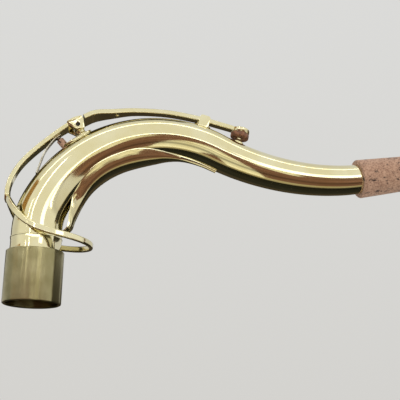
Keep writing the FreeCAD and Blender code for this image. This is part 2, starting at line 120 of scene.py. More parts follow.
def add_node(
    tree: bpy.types.NodeTree,
    kind: str,
    settings: dict[str, object] | None = None,
    inputs: dict[str | int, object] | None = None,
    stops: Sequence[tuple[float, str]] = (),
) -> bpy.types.Node:
    """Add one node with its settings, values and links.

    Args:
        tree: The node tree that gets the node.
        kind: Blender's name of the node type.
        settings: Attributes of the node.
        inputs: Socket name or number to a value, or to an output socket to link from.
        stops: Place and hex colour of each stop, where the node is a colour ramp.

    Returns:
        The new node.
    """
    node = tree.nodes.new(kind)
    for name, value in (settings or {}).items():
        setattr(node, name, value)
    for key, value in (inputs or {}).items():
        if isinstance(value, bpy.types.NodeSocket):
            tree.links.new(value, node.inputs[key])
        else:
            node.inputs[key].default_value = value
    if stops:
        marks = node.color_ramp.elements
        while len(marks) < len(stops):
            marks.new(0.5)
        for mark, (place, colour) in zip(marks, stops):
            mark.position = place
            mark.color = linear(colour)
    return node


@dataclass(frozen=True)
class Finish:
    """A finish made of one principled shader, with patterns in object space."""

    name: str

    def shader(self, tree: bpy.types.NodeTree) -> dict[str | int, object]:
        """Give the principled shader's inputs; each finish has its own."""
        raise NotImplementedError

    def material(self) -> bpy.types.Material:
        """Build the material once and reuse it.

        Returns:
            The material of this finish.
        """
        known = bpy.data.materials.get(self.name)
        if known:
            return known
        made = bpy.data.materials.new(self.name)
        made.use_nodes = True
        tree = made.node_tree
        tree.nodes.clear()
        surface = add_node(tree, "ShaderNodeBsdfPrincipled", inputs=self.shader(tree))
        add_node(tree, "ShaderNodeOutputMaterial", inputs={"Surface": surface.outputs[0]})
        return made


@dataclass(frozen=True)
class LacqueredBrass(Finish):
    """Yellow brass, drawn and buffed, under sprayed clear lacquer.

    It gives a pale straw mirror that goes brown where it looks into the dark. The lacquer lies
    in a faint orange peel, and wiping marks blur the highlights a little. The real marks are
    finer and are drawn as coarse as they need to show.
    """

    name: str = "brass_buffed_lacquered"
    bright: str = "#eae3bf"
    deep: str = "#e3d9ac"
    roughness: float = 0.075
    tone_mm: float = 14.0
    peel_mm: float = 9.0
    peel_depth_mm: float = 0.5
    mark_mm: float = 0.35

    def shader(self, tree: bpy.types.NodeTree) -> dict[str | int, object]:
        """Give the inputs of the lacquered brass.

        Args:
            tree: The material's node tree.

        Returns:
            Socket name to value or link.
        """
        place = add_node(tree, "ShaderNodeTexCoord").outputs["Object"]
        tone = add_node(
            tree, "ShaderNodeTexNoise",
            inputs={"Vector": place, "Scale": 1 / (self.tone_mm * MM), "Detail": 3.0,
                    "Roughness": 0.6},
        )
        colour = add_node(
            tree, "ShaderNodeValToRGB", inputs={"Fac": tone.outputs["Fac"]},
            stops=((0.35, self.deep), (0.65, self.bright)),
        )
        marks = add_node(
            tree, "ShaderNodeTexNoise",
            inputs={"Vector": place, "Scale": 1 / (self.mark_mm * MM), "Detail": 2.0},
        )
        rough = add_node(
            tree, "ShaderNodeMapRange",
            inputs={"Value": marks.outputs["Fac"], "From Min": 0.4, "From Max": 0.75,
                    "To Min": self.roughness, "To Max": self.roughness + 0.04},
        )
        peel = add_node(
            tree, "ShaderNodeTexNoise",
            inputs={"Vector": place, "Scale": 1 / (self.peel_mm * MM), "Detail": 2.0},
        )
        bump = add_node(
            tree, "ShaderNodeBump",
            inputs={"Height": peel.outputs["Fac"], "Strength": 0.012,
                    "Distance": self.peel_depth_mm * MM},
        )
        return {
            "Base Color": colour.outputs["Color"],
            "Metallic": 1.0,
            "Roughness": rough.outputs["Result"],
            "Normal": bump.outputs["Normal"],
            "Coat Weight": 0.1,
            "Coat Roughness": 0.03,
        }


@dataclass(frozen=True)
class RawBrass(Finish):
    """Yellow brass, turned and left bare, dulled by handling.

    It gives a satin olive grey with soft upright highlights, fine scratches that run round it
    where it turns in its socket, and darker tarnish in patches. The scratches are drawn
    coarser than the real ones, so that they show.
    """

    name: str = "brass_turned_bare"
    worn: str = "#b3ab84"
    dull: str = "#a0986f"
    roughness: float = 0.22
    scratch_mm: float = 0.22
    scratch_depth_mm: float = 0.05
    scratch_stretch: float = 25.0
    patch_mm: float = 7.0

    def shader(self, tree: bpy.types.NodeTree) -> dict[str | int, object]:
        """Give the inputs of the raw brass.

        Args:
            tree: The material's node tree.

        Returns:
            Socket name to value or link.
        """
        place = add_node(tree, "ShaderNodeTexCoord").outputs["Object"]
        patch = add_node(
            tree, "ShaderNodeTexNoise",
            inputs={"Vector": place, "Scale": 1 / (self.patch_mm * MM), "Detail": 5.0},
        )
        across = 1 / self.scratch_stretch
        lines = add_node(
            tree, "ShaderNodeMapping", inputs={"Vector": place, "Scale": (across, across, 1.0)}
        )
        scratch = add_node(
            tree, "ShaderNodeTexNoise",
            inputs={"Vector": lines.outputs["Vector"], "Scale": 1 / (self.scratch_mm * MM),
                    "Detail": 3.0},
        )
        colour = add_node(
            tree, "ShaderNodeValToRGB", inputs={"Fac": patch.outputs["Fac"]},
            stops=((0.36, self.dull), (0.66, self.worn)),
        )
        rough = add_node(
            tree, "ShaderNodeMapRange",
            inputs={"Value": patch.outputs["Fac"], "From Min": 0.3, "From Max": 0.7,
                    "To Min": self.roughness + 0.04, "To Max": self.roughness - 0.02},
        )
        bump = add_node(
            tree, "ShaderNodeBump",
            inputs={"Height": scratch.outputs["Fac"], "Strength": 0.16,
                    "Distance": self.scratch_depth_mm * MM},
        )
        return {
            "Base Color": colour.outputs["Color"],
            "Metallic": 1.0,
            "Roughness": rough.outputs["Result"],
            "Normal": bump.outputs["Normal"],
            "Anisotropic": 0.95,
            "Anisotropic Rotation": 0.25,
        }


@dataclass(frozen=True)
class SheetCork(Finish):
    """Sheet cork, sanded to a taper and handled.

    It gives a matt pinkish brown with small cells, paler and darker, and with dark pits and
    short streaks where its pores are cut.
    """

    name: str = "sheet_cork"
    pale: str = "#b8937c"
    middle: str = "#a27d68"
    dark: str = "#7e5d4c"
    pore: str = "#3c2a22"
    cell_mm: float = 0.9
    cloud_mm: float = 2.6
    pore_mm: float = 2.4
    relief_mm: float = 0.25

    def shader(self, tree: bpy.types.NodeTree) -> dict[str | int, object]:
        """Give the inputs of the cork.

        Args:
            tree: The material's node tree.

        Returns:
            Socket name to value or link.
        """
        place = add_node(tree, "ShaderNodeTexCoord").outputs["Object"]
        cells = add_node(
            tree, "ShaderNodeTexVoronoi",
            inputs={"Vector": place, "Scale": 1 / (self.cell_mm * MM), "Randomness": 1.0},
        )
        cloud = add_node(
            tree, "ShaderNodeTexNoise",
            inputs={"Vector": place, "Scale": 1 / (self.cloud_mm * MM), "Detail": 6.0,
                    "Roughness": 0.7},
        )
        mixed = add_node(
            tree, "ShaderNodeMix", {"data_type": "FLOAT"},
            {0: 0.55, 2: cells.outputs["Distance"], 3: cloud.outputs["Fac"]},
        )
        base = add_node(
            tree, "ShaderNodeValToRGB", inputs={"Fac": mixed.outputs[0]},
            stops=((0.28, self.dark), (0.44, self.middle), (0.62, self.pale)),
        )
        stretch = add_node(
            tree, "ShaderNodeMapping", inputs={"Vector": place, "Scale": (0.55, 1.0, 1.0)}
        )
        pores = add_node(
            tree, "ShaderNodeTexNoise",
            inputs={"Vector": stretch.outputs["Vector"], "Scale": 1 / (self.pore_mm * MM),
                    "Detail": 4.0, "Roughness": 0.75, "Distortion": 0.6},
        )
        open_pore = add_node(
            tree, "ShaderNodeMapRange",
            inputs={"Value": pores.outputs["Fac"], "From Min": 0.59, "From Max": 0.64},
        )
        colour = add_node(
            tree, "ShaderNodeMix", {"data_type": "RGBA"},
            {0: open_pore.outputs["Result"], 6: base.outputs["Color"], 7: linear(self.pore)},
        )
        relief = add_node(
            tree, "ShaderNodeMath", {"operation": "SUBTRACT"},
            {0: mixed.outputs[0], 1: open_pore.outputs["Result"]},
        )
        bump = add_node(
            tree, "ShaderNodeBump",
            inputs={"Height": relief.outputs["Value"], "Strength": 0.7,
                    "Distance": self.relief_mm * MM},
        )
        return {
            "Base Color": colour.outputs[2],
            "Roughness": 0.82,
            "Normal": bump.outputs["Normal"],
            "Specular IOR Level": 0.3,
            "Sheen Weight": 0.15,
            "Sheen Roughness": 0.6,
        }


@dataclass(frozen=True)
class PadSkin(Finish):
    """Thin bladder skin, glued over felt.

    It gives a warm brown with a soft shine, clouded by the felt under it and finely creased.
    """

    name: str = "pad_skin"
    high: str = "#8c5a3b"
    low: str = "#573420"
    cloud_mm: float = 1.5
    crease_mm: float = 0.7
    crease_depth_mm: float = 0.1

    def shader(self, tree: bpy.types.NodeTree) -> dict[str | int, object]:
        """Give the inputs of the pad skin.

        Args:
            tree: The material's node tree.

        Returns:
            Socket name to value or link.
        """
        place = add_node(tree, "ShaderNodeTexCoord").outputs["Object"]
        crease = add_node(
            tree, "ShaderNodeTexVoronoi", {"feature": "DISTANCE_TO_EDGE"},
            {"Vector": place, "Scale": 1 / (self.crease_mm * MM)},
        )
        shade = add_node(
            tree, "ShaderNodeTexNoise",
            inputs={"Vector": place, "Scale": 1 / (self.cloud_mm * MM), "Detail": 4.0},
        )
        colour = add_node(
            tree, "ShaderNodeValToRGB", inputs={"Fac": shade.outputs["Fac"]},
            stops=((0.35, self.low), (0.65, self.high)),
        )
        bump = add_node(
            tree, "ShaderNodeBump",
            inputs={"Height": crease.outputs["Distance"], "Strength": 0.35,
                    "Distance": self.crease_depth_mm * MM},
        )
        return {
            "Base Color": colour.outputs["Color"],
            "Roughness": 0.48,
            "Normal": bump.outputs["Normal"],
            "Sheen Weight": 0.1,
        }


@dataclass(frozen=True)
class Steel(Finish):
    """Carbon steel, rolled or turned, and a dark copy that stands in for shade.

    It gives a grey metal, warmer than chrome, with a faint brown film in clouds from age and
    a grain that softens its highlights.
    """

    name: str = "steel_rolled"
    clean: str = "#e2ddcf"
    filmed: str = "#b9b09c"
    roughness: float = 0.24
    film_mm: float = 2.0
    grain_mm: float = 0.12
    grain_depth_mm: float = 0.02

    def shader(self, tree: bpy.types.NodeTree) -> dict[str | int, object]:
        """Give the inputs of the steel.

        Args:
            tree: The material's node tree.

        Returns:
            Socket name to value or link.
        """
        place = add_node(tree, "ShaderNodeTexCoord").outputs["Object"]
        film = add_node(
            tree, "ShaderNodeTexNoise",
            inputs={"Vector": place, "Scale": 1 / (self.film_mm * MM), "Detail": 4.0},
        )
        grain = add_node(
            tree, "ShaderNodeTexNoise",
            inputs={"Vector": place, "Scale": 1 / (self.grain_mm * MM), "Detail": 2.0},
        )
        colour = add_node(
            tree, "ShaderNodeValToRGB", inputs={"Fac": film.outputs["Fac"]},
            stops=((0.4, self.filmed), (0.6, self.clean)),
        )
        bump = add_node(
            tree, "ShaderNodeBump",
            inputs={"Height": grain.outputs["Fac"], "Strength": 0.1,
                    "Distance": self.grain_depth_mm * MM},
        )
        return {
            "Base Color": colour.outputs["Color"],
            "Metallic": 1.0,
            "Roughness": self.roughness,
            "Normal": bump.outputs["Normal"],
        }


@dataclass(frozen=True)
class StudioPaint(Finish):
    """Matt emulsion, rolled on the studio's floor.

    It gives an even pale ground without shine, with the faintest mottle from the roller.
    """

    name: str = "floor_paint"
    pale: str = "#e6e4df"
    shade: str = "#e4e2dd"
    mottle_mm: float = 83.0

    def shader(self, tree: bpy.types.NodeTree) -> dict[str | int, object]:
        """Give the inputs of the floor's paint.

        Args:
            tree: The material's node tree.

        Returns:
            Socket name to value or link.
        """
        place = add_node(tree, "ShaderNodeTexCoord").outputs["Object"]
        mottle = add_node(
            tree, "ShaderNodeTexNoise",
            inputs={"Vector": place, "Scale": 1 / (self.mottle_mm * MM), "Detail": 2.0},
        )
        colour = add_node(
            tree, "ShaderNodeValToRGB", inputs={"Fac": mottle.outputs["Fac"]},
            stops=((0.4, self.shade), (0.6, self.pale)),
        )
        return {
            "Base Color": colour.outputs["Color"], "Roughness": 1.0, "Specular IOR Level": 0.0,
        }


@dataclass(frozen=True)
class CardPaint(Finish):
    """Painted reflections: dead matt tones on a card along the neck, which only the metal sees.

    It gives the metal painted reflections to show: bands that fade into each other from the front to
    the back of the studio, and long streaks that stand in for streaks in the metal's reflections. The
    bands are places in metres.
    """

    bands: Bands
    near: float = NEAR
    far: float = FAR
    streak_mm: tuple[float, float, float] = (400.0, 111.0, 45.5)

    def shader(self, tree: bpy.types.NodeTree) -> dict[str | int, object]:
        """Give the inputs of the card's paint.

        Args:
            tree: The material's node tree.

        Returns:
            Socket name to value or link.
        """
        place = add_node(tree, "ShaderNodeTexCoord").outputs["Object"]
        axis = add_node(tree, "ShaderNodeSeparateXYZ", inputs={"Vector": place})
        along = add_node(
            tree, "ShaderNodeMapRange",
            inputs={"Value": axis.outputs["Y"], "From Min": self.near, "From Max": self.far},
        )
        span = self.far - self.near
        band = add_node(
            tree, "ShaderNodeValToRGB", inputs={"Fac": along.outputs["Result"]},
            stops=[((y - self.near) / span, colour) for y, colour in self.bands],
        )
        # Painted reflection: long streaks that the metal shows, stretched along the neck
        streak_space = add_node(
            tree, "ShaderNodeMapping",
            inputs={"Vector": place, "Scale": [1 / (size * MM) for size in self.streak_mm]},
        )
        streak = add_node(
            tree, "ShaderNodeTexNoise",
            inputs={"Vector": streak_space.outputs["Vector"], "Scale": 1.0, "Detail": 3.0},
        )
        depth = add_node(
            tree, "ShaderNodeMapRange",
            inputs={"Value": streak.outputs["Fac"], "From Min": 0.3, "From Max": 0.7,
                    "To Min": 0.45, "To Max": 1.5},
        )
        colour = add_node(
            tree, "ShaderNodeVectorMath", {"operation": "SCALE"},
            {0: band.outputs["Color"], "Scale": depth.outputs["Result"]},
        )
        return {
            "Base Color": colour.outputs["Vector"], "Roughness": 1.0, "Specular IOR Level": 0.0,
        }


BRASS = LacqueredBrass()
BARE_BRASS = RawBrass()
CORK = SheetCork()
SKIN = PadSkin()
SPRING_STEEL = Steel()
SCREW_STEEL = Steel("steel_turned", "#a7a093", "#6f685b", 0.3)
# Painted shade: the pivot screw's steel is darkened to stand for the shade in its recess
PIVOT_SHADE_STEEL = Steel("steel_dark_painted_shade", "#45403a", "#2a2622", 0.35)


# Meshes


def smooth_curve(values: Sequence[Vector], steps: int) -> list[Vector]:
    """Run a smooth curve through some values.

    Args:
        values: The values it passes through, two or more.
        steps: Points per gap between two values.

    Returns:
        The curve's points, the first and last value among them.
    """
    ends = [values[0] * 2 - values[1], *values, values[-1] * 2 - values[-2]]
    line: list[Vector] = []
    for k in range(len(values) - 1):
        a, b, c, d = ends[k : k + 4]
        for n in range(steps):
            t = n / steps
            line.append(
                (b * 2 + (c - a) * t + (a * 2 - b * 5 + c * 4 - d) * t**2
                 + (b * 3 - a - c * 3 + d) * t**3) / 2
            )
    line.append(values[-1].copy())
    return line


def eased_rectangle(width: float, height: float, corner: float, turns: int = 4) -> Outline:
    """Outline of a rectangle with round corners.

    Args:
        width: Its width in millimetres.
        height: Its height in millimetres.
        corner: Radius of its corners in millimetres.
        turns: Edges in each corner.

    Returns:
        Points round the outline, counter-clockwise, with some on its straight sides that keep
        the shading of the flats even.
    """
    outline = []
    for quarter, (sx, sy) in enumerate(((1, 1), (-1, 1), (-1, -1), (1, -1))):
        cx, cy = sx * (width / 2 - corner), sy * (height / 2 - corner)
        for k in range(turns + 1):
            turn = math.pi / 2 * (quarter + k / turns)
            outline.append((cx + corner * math.cos(turn), cy + corner * math.sin(turn)))
    refined = []
    for k, (ax, ay) in enumerate(outline):
        refined.append((ax, ay))
        if k % (turns + 1) == turns:
            bx, by = outline[(k + 1) % len(outline)]
            refined += [(ax + (bx - ax) * t, ay + (by - ay) * t) for t in SIDE_POINTS]
    return refined


def put(name: str, data: bpy.types.ID) -> bpy.types.Object:
    """Put an object of some data in the scene.

    Args:
        name: Name of the object.
        data: Its mesh, lamp or camera.

    Returns:
        The new object.
    """
    made = bpy.data.objects.new(name, data)
    bpy.context.scene.collection.objects.link(made)
    return made


def put_mesh(name: str, mesh: bmesh.types.BMesh) -> bpy.types.Object:
    """Put an object of a bmesh in metres in the scene.

    Args:
        name: Name of the object.
        mesh: Its bmesh, freed here.

    Returns:
        The new object.
    """
    data = bpy.data.meshes.new(name)
    mesh.to_mesh(data)
    mesh.free()
    return put(name, data)


def make_piece(name: str, mesh: bmesh.types.BMesh, sharp_degrees: float = 40.0) -> bpy.types.Object:
    """Turn a bmesh in millimetres to a shaded object in metres.

    Args:
        name: Name of the piece.
        mesh: Its bmesh, freed here.
        sharp_degrees: Edges that turn more than this stay crisp.

    Returns:
        The new object.
    """
    bmesh.ops.remove_doubles(mesh, verts=mesh.verts, dist=WELD)
    bmesh.ops.recalc_face_normals(mesh, faces=mesh.faces)
    bmesh.ops.scale(mesh, vec=(MM, MM, MM), verts=mesh.verts)
    limit = math.radians(sharp_degrees)
    for face in mesh.faces:
        face.smooth = True
    for edge in mesh.edges:
        edge.smooth = len(edge.link_faces) == 2 and edge.calc_face_angle(0) < limit
    return put_mesh(name, mesh)


def bridge(rings: Sequence[Ring], loop: bool = False) -> bmesh.types.BMesh:
    """Skin a run of rings that have the same number of points.

    Args:
        rings: Closed rings of points in millimetres.
        loop: Whether the last ring joins the first; otherwise each of the two gets a face.

    Returns:
        The skinned bmesh.
    """
    mesh = bmesh.new()
    loops = [[mesh.verts.new(point) for point in ring] for ring in rings]
    pairs = list(zip(loops, loops[1:]))
    if loop:
        pairs.append((loops[-1], loops[0]))
    for low, high in pairs:
        count = len(low)
        for k in range(count):
            n = (k + 1) % count
            mesh.faces.new((low[k], low[n], high[n], high[k]))
    if not loop:
        mesh.faces.new(loops[0][::-1])
        mesh.faces.new(loops[-1])
    return mesh


def lathe(
    outline: Sequence[tuple[float, float]], place: Matrix, segments: int = 96
) -> bmesh.types.BMesh:
    """Turn a closed outline about a frame's Z axis.

    Args:
        outline: Radius and height of each point, in millimetres. Where the first and last lie on
            the axis, the form is solid; otherwise the outline closes on itself.
        place: Frame of the axis, in millimetres.
        segments: Steps round.

    Returns:
        The turned bmesh.
    """
    solid = outline[0][0] == 0 and outline[-1][0] == 0
    mesh = bmesh.new()
    columns = []
    for s in range(segments):
        turn = math.tau * s / segments
        column = []
        for radius, height in outline:
            point = Vector((radius * math.cos(turn), radius * math.sin(turn), height))
            column.append(mesh.verts.new(place @ point))
        columns.append(column)
    count = len(outline)
    for s in range(segments):
        a, b = columns[s], columns[(s + 1) % segments]
        for k in range(count - 1 if solid else count):
            n = (k + 1) % count
            corners = [a[k], b[k], b[n], a[n]]
            if solid and outline[k][0] == 0:
                corners = [a[k], b[n], a[n]]
            elif solid and outline[n][0] == 0:
                corners = [a[k], b[k], a[n]]
            mesh.faces.new(corners)
    return mesh


def arc_points(
    start: tuple[float, float], end: tuple[float, float], bulge: float, steps: int
) -> Outline:
    """Points of a flat parabolic arch between two points, both ends included.

    Args:
        start: First point.
        end: Last point.
        bulge: Height of the arch to the left of the way from start to end.
        steps: Edges along it.

    Returns:
        The points.
    """
    ax, ay = start
    bx, by = end
    length = math.hypot(bx - ax, by - ay)
    nx, ny = -(by - ay) / length, (bx - ax) / length
    line = []
    for k in range(steps + 1):
        t = k / steps
        rise = bulge * 4 * t * (1 - t)
        line.append((ax + (bx - ax) * t + nx * rise, ay + (by - ay) * t + ny * rise))
    return line


def eased_copy(node: str, width: float, crisp: float = 35.0) -> bmesh.types.BMesh:
    """Copy a solid's mesh and break its hard edges.

    Args:
        node: Name of the solid's node.
        width: Width of the broken edges in millimetres.
        crisp: Edges that turn more than this many degrees are broken.

    Returns:
        The bmesh in millimetres.
    """
    mesh = bmesh.new()
    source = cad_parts[node]
    mesh.from_mesh(source.data)
    mesh.transform(source.matrix_world)
    bmesh.ops.scale(mesh, vec=(1 / MM, 1 / MM, 1 / MM), verts=mesh.verts)
    bmesh.ops.remove_doubles(mesh, verts=mesh.verts, dist=SOLID_WELD)
    bmesh.ops.dissolve_limit(
        mesh, angle_limit=math.radians(FLAT_DEGREES), verts=mesh.verts, edges=mesh.edges
    )
    limit = math.radians(crisp)
    hard = [e for e in mesh.edges if len(e.link_faces) == 2 and e.calc_face_angle(0) > limit]
    bmesh.ops.bevel(
        mesh, geom=hard, offset=width, offset_type="OFFSET", segments=2, profile=0.5,
        affect="EDGES", clamp_overlap=True,
    )
    return mesh


def dress(
    piece: bpy.types.Object, finish: Finish, body: Body | None, slot: Slot, *nodes: str
) -> bpy.types.Object:
    """Give a piece its finish and body, and hide the solids that it stands for.

    Args:
        piece: The piece.
        finish: Its finish.
        body: The body that it rides on; none where it bends between two.
        slot: Not used.
        nodes: Solids that it replaces.

    Returns:
        The same piece.
    """
    piece.data.materials.clear()
    piece.data.materials.append(finish.material())
    if body:
        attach(piece, body.value)
    if nodes:
        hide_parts(*nodes)
    return piece


# The line that everything follows


@dataclass(frozen=True)
class NeckLine:
    """Centre line and outer radius of the tube, by distance from its lower end."""

    start_height: float = 7.0
    start_straight: float = 4.0
    arcs: tuple[tuple[float, float], ...] = (
        (33.0, -22.0), (64.0, -92.5), (132.0, 29.0), (105.0, 6.0),
    )
    cork_length: float = 50.0
    bare_tip: float = 2.0
    heel_radius: float = 12.1
    cork_radius: float = 7.8
    tip_radius: float = 7.0

    def pieces(self) -> list[tuple[float, float]]:
        """Length in millimetres and signed curvature of each piece, from its radius and degrees."""
        bends = [(r * math.radians(abs(a)), math.copysign(1 / r, a)) for r, a in self.arcs]
        return [(self.start_straight, 0.0), *bends]

    @property
    def bare_length(self) -> float:
        """Length from the collar to the cork."""
        return sum(length for length, _ in self.pieces())

    @property
    def length(self) -> float:
        """Length from the collar to the tip."""
        return self.bare_length + self.cork_length + self.bare_tip

    def centre(self, distance: float) -> tuple[Vector, float]:
        """Find the line's point and heading.

        Args:
            distance: Distance along the line; it runs on straight past its ends.

        Returns:
            The point and the heading in radians, in the plane of symmetry.
        """
        x, z, heading = 0.0, self.start_height, math.radians(90)
        left = distance
        for length, bend in self.pieces():
            step = min(left, length)
            if bend == 0:
                x += step * math.cos(heading)
                z += step * math.sin(heading)
            else:
                turned = heading + step * bend
                x += (math.sin(turned) - math.sin(heading)) / bend
                z += (math.cos(heading) - math.cos(turned)) / bend
                heading = turned
            left -= step
            if left <= 0:
                break
        return Vector((x + left * math.cos(heading), 0, z + left * math.sin(heading))), heading

    def radius(self, distance: float) -> float:
        """Find the tube's outer radius.

        Args:
            distance: Distance along the line.

        Returns:
            The radius, even in the heel and tapered in two runs from there.
        """
        if distance <= self.start_straight:
            return self.heel_radius
        if distance <= self.bare_length:
            share = (distance - self.start_straight) / (self.bare_length - self.start_straight)
            return self.heel_radius + (self.cork_radius - self.heel_radius) * share
        share = (distance - self.bare_length) / (self.length - self.bare_length)
        return self.cork_radius + (self.tip_radius - self.cork_radius) * share

    def outward(self, distance: float) -> Vector:
        """Unit vector from the line to the outer side of the bend."""
        _, heading = self.centre(distance)
        return Vector((-math.sin(heading), 0, math.cos(heading)))

    def above(self, distance: float, height: float) -> Vector:
        """Point over the outer side of the tube, at a height above its skin."""
        point, _ = self.centre(distance)
        return point + self.outward(distance) * (self.radius(distance) + height)

    def ring(self, distance: float, growth: float, count: int) -> Ring:
        """Circle across the tube.

        Args:
            distance: Place along the line.
            growth: Added to the tube's outer radius.
            count: Number of points.

        Returns:
            The circle's points.
        """
        point, _ = self.centre(distance)
        out, side = self.outward(distance), Vector((0, 1, 0))
        reach = self.radius(distance) + growth
        turns = [math.tau * k / count for k in range(count)]
        return [point + (out * math.cos(t) + side * math.sin(t)) * reach for t in turns]

    def frame_at(self, distance: float, height: float = 0.0) -> Matrix:
        """Frame over the outer side of the tube.

        Args:
            distance: Place along the line.
            height: Height of the origin above the tube's skin.

        Returns:
            The frame, X along the tube and Z outward.
        """
        _, heading = self.centre(distance)
        along = Vector((math.cos(heading), 0, math.sin(heading)))
        axes = Matrix((along, Vector((0, 1, 0)), self.outward(distance))).transposed().to_4x4()
        return Matrix.Translation(self.above(distance, height)) @ axes

    def axis_frame(self, distance: float) -> Matrix:
        """Frame on the centre line.

        Args:
            distance: Place along the line.

        Returns:
            The frame, whose Z runs along the line.
        """
        point, heading = self.centre(distance)
        along = Vector((math.cos(heading), 0, math.sin(heading)))
        axes = Matrix((self.outward(distance) * -1, Vector((0, 1, 0)), along)).transposed()
        return Matrix.Translation(point) @ axes.to_4x4()


LINE = NeckLine()


def strip(
    places: Sequence[tuple[Vector, float]], thickness: float, corner: float, steps: int = 8
) -> bmesh.types.BMesh:
    """Strip with round edges in the plane of symmetry.

    Args:
        places: Point and half width at each place along it.
        thickness: Thickness of the strip.
        corner: Radius of its edges.
        steps: Sections per gap between places.

    Returns:
        The strip's bmesh.
    """
    path = smooth_curve([point for point, _ in places], steps)
    halves = smooth_curve([Vector((half, 0, 0)) for _, half in places], steps)
    rings = []
    side = Vector((0, 1, 0))
    for k, point in enumerate(path):
        ahead = path[min(k + 1, len(path) - 1)] - path[max(k - 1, 0)]
        up = ahead.normalized().cross(side)
        outline = eased_rectangle(halves[k].x * 2, thickness, corner)
        rings.append([point + side * a + up * b for a, b in outline])
    return bridge(rings)


# Tenon, tube and cork


@dataclass
class Tenon:
    """Bare sleeve that goes into the instrument's body, and the collar over it."""

    radius: float = 13.75
    length: float = 25.0
    wall: float = 1.5
    end_chamfer: float = 0.5
    shoulder_ease: float = 0.12
    collar_height: float = 7.0
    collar_base: float = 12.3
    collar_lip: float = 12.25
    collar_lip_height: float = 0.8
    collar_cove: float = 0.16
    collar_foot: float = 0.25
    collar_bore: float = 10.57
    lip_step: float = 0.12
    lip_under: float = 0.15
    lip_over: float = 0.2
    lip_ease: float = 0.1
    spigot: float = 11.45
    spigot_height: float = 3.4
    tongue: float = 12.22
    tongue_depth: float = 5.0
    segments: int = 128

    def sleeve(self) -> bpy.types.Object:
        """Build and dress the sleeve.

        Returns:
            The sleeve, with its end chamfered inside and out.
        """
        outer, inner, cut = self.radius, self.radius - self.wall, self.end_chamfer
        outline = [
            (inner, -self.length + cut), (inner + cut, -self.length), (outer - cut, -self.length),
            (outer - cut / 4, -self.length + cut / 2), (outer, -self.length + cut * 1.4),
            (outer, -self.shoulder_ease), (outer - self.shoulder_ease, 0), (inner, 0),
        ]
        mesh = lathe(outline, Matrix(), self.segments)
        piece = make_piece("tenon_sleeve_turned", mesh, sharp_degrees=30)
        return dress(piece, BARE_BRASS, Body.NECK, Slot.RAW, "tenon_sleeve")

    def collar(self) -> bpy.types.Object:
        """Build and dress the collar with its cove and lip.

        Returns:
            The collar, with its tongue, cove, lip and spigot.
        """
        foot = self.collar_height - self.collar_lip_height
        start, end = (self.collar_base, self.collar_foot), (self.collar_lip, foot)
        cove = arc_points(start, end, self.collar_cove, steps=10)
        edge = self.collar_lip + self.lip_step
        outline = [
            (self.collar_bore, -self.tongue_depth), (self.tongue, -self.tongue_depth),
            (self.tongue, 0), (self.collar_base, 0), *cove,
            (edge, foot + self.lip_under), (edge, self.collar_height - self.lip_over),
            (self.collar_lip - self.lip_ease, self.collar_height), (self.spigot, self.collar_height),
            (self.spigot, self.collar_height + self.spigot_height),
            (self.collar_bore, self.collar_height + self.spigot_height),
        ]
        mesh = lathe(outline, Matrix(), self.segments)
        piece = make_piece("tenon_collar_turned", mesh, sharp_degrees=30)
        return dress(piece, BRASS, Body.NECK, Slot.LACQUERED, "tenon_collar")


@dataclass
class Tube:
    """The bent and tapered tube."""

    wall: float = 0.6
    step: float = 1.6
    round_points: int = 96
    lip_ease: float = 0.2

    def build(self) -> bpy.types.Object:
        """Build and dress the tube, with its bore.

        Returns:
            The tube, one skin outside and one inside, joined at both mouths.
        """
        count = math.ceil(LINE.length / self.step)
        marks = [LINE.length * k / count for k in range(count + 1)]
        ease = self.lip_ease
        outside = [LINE.ring(d, 0, self.round_points) for d in marks[:-1]]
        outside.append(LINE.ring(LINE.length - ease, 0, self.round_points))
        outside.append(LINE.ring(LINE.length, -ease, self.round_points))
        inside = [LINE.ring(d, -self.wall, self.round_points) for d in marks[::-1]]
        piece = make_piece("neck_tube_bent", bridge(outside + inside, loop=True))
        return dress(piece, BRASS, Body.NECK, Slot.LACQUERED, "neck_tube")


@dataclass
class CorkSleeve:
    """Tapered cork on the mouthpiece end."""

    rear_thickness: float = 2.4
    front_thickness: float = 1.5
    edge: float = 0.6
    edge_bulge: float = -0.2
    glue_gap: float = 0.03
    kept_skin: float = 0.1
    wave_pitch: float = 0.16
    wave_height: float = 0.06
    pore_pitch: float = 0.9
    pore_share: float = 0.35
    pore_depth: float = 0.2
    sections: int = 110
    round_points: int = 128

    def build(self) -> bpy.types.Object:
        """Build the cork with its cut pores, and dress it.

        Returns:
            The cork, with round edges and an uneven skin.
        """
        rear = LINE.radius(LINE.bare_length)
        front = LINE.radius(LINE.bare_length + LINE.cork_length)
        length, ease = LINE.cork_length, self.edge
        wide, slim = rear + self.rear_thickness, front + self.front_thickness
        bulge = ease * self.edge_bulge
        outline = [(rear + self.glue_gap, 0.0)]
        outline += arc_points((wide - ease, 0), (wide, ease), bulge, steps=5)
        for k in range(1, self.sections):
            share = k / self.sections
            outline.append((wide + (slim - wide) * share, ease + (length - 2 * ease) * share))
        outline += arc_points((slim, length - ease), (slim - ease, length), bulge, steps=5)
        outline.append((front + self.glue_gap, length))
        mesh = lathe(outline, Matrix(), self.round_points)
        self.roughen(mesh, rear + self.kept_skin)
        bmesh.ops.transform(mesh, matrix=LINE.axis_frame(LINE.bare_length), verts=mesh.verts)
        piece = make_piece("neck_cork_sanded", mesh, sharp_degrees=50)
        return dress(piece, CORK, Body.NECK, Slot.CORK, "neck_cork")

    def roughen(self, mesh: bmesh.types.BMesh, keep: float) -> None:
        """Press pores and a sanded unevenness into the outer skin.

        Args:
            mesh: The cork's bmesh about the Z axis.
            keep: Points nearer to the axis than this stay.
        """
        for vert in mesh.verts:
            reach = math.hypot(vert.co.x, vert.co.y)
            if reach < keep:
                continue
            wave = noise.noise(vert.co * self.wave_pitch) * self.wave_height
            pore = max(0.0, noise.noise(vert.co * self.pore_pitch) - self.pore_share)
            grow = 1 + (wave - pore * self.pore_depth) / reach
            vert.co.x *= grow
            vert.co.y *= grow


# Brace


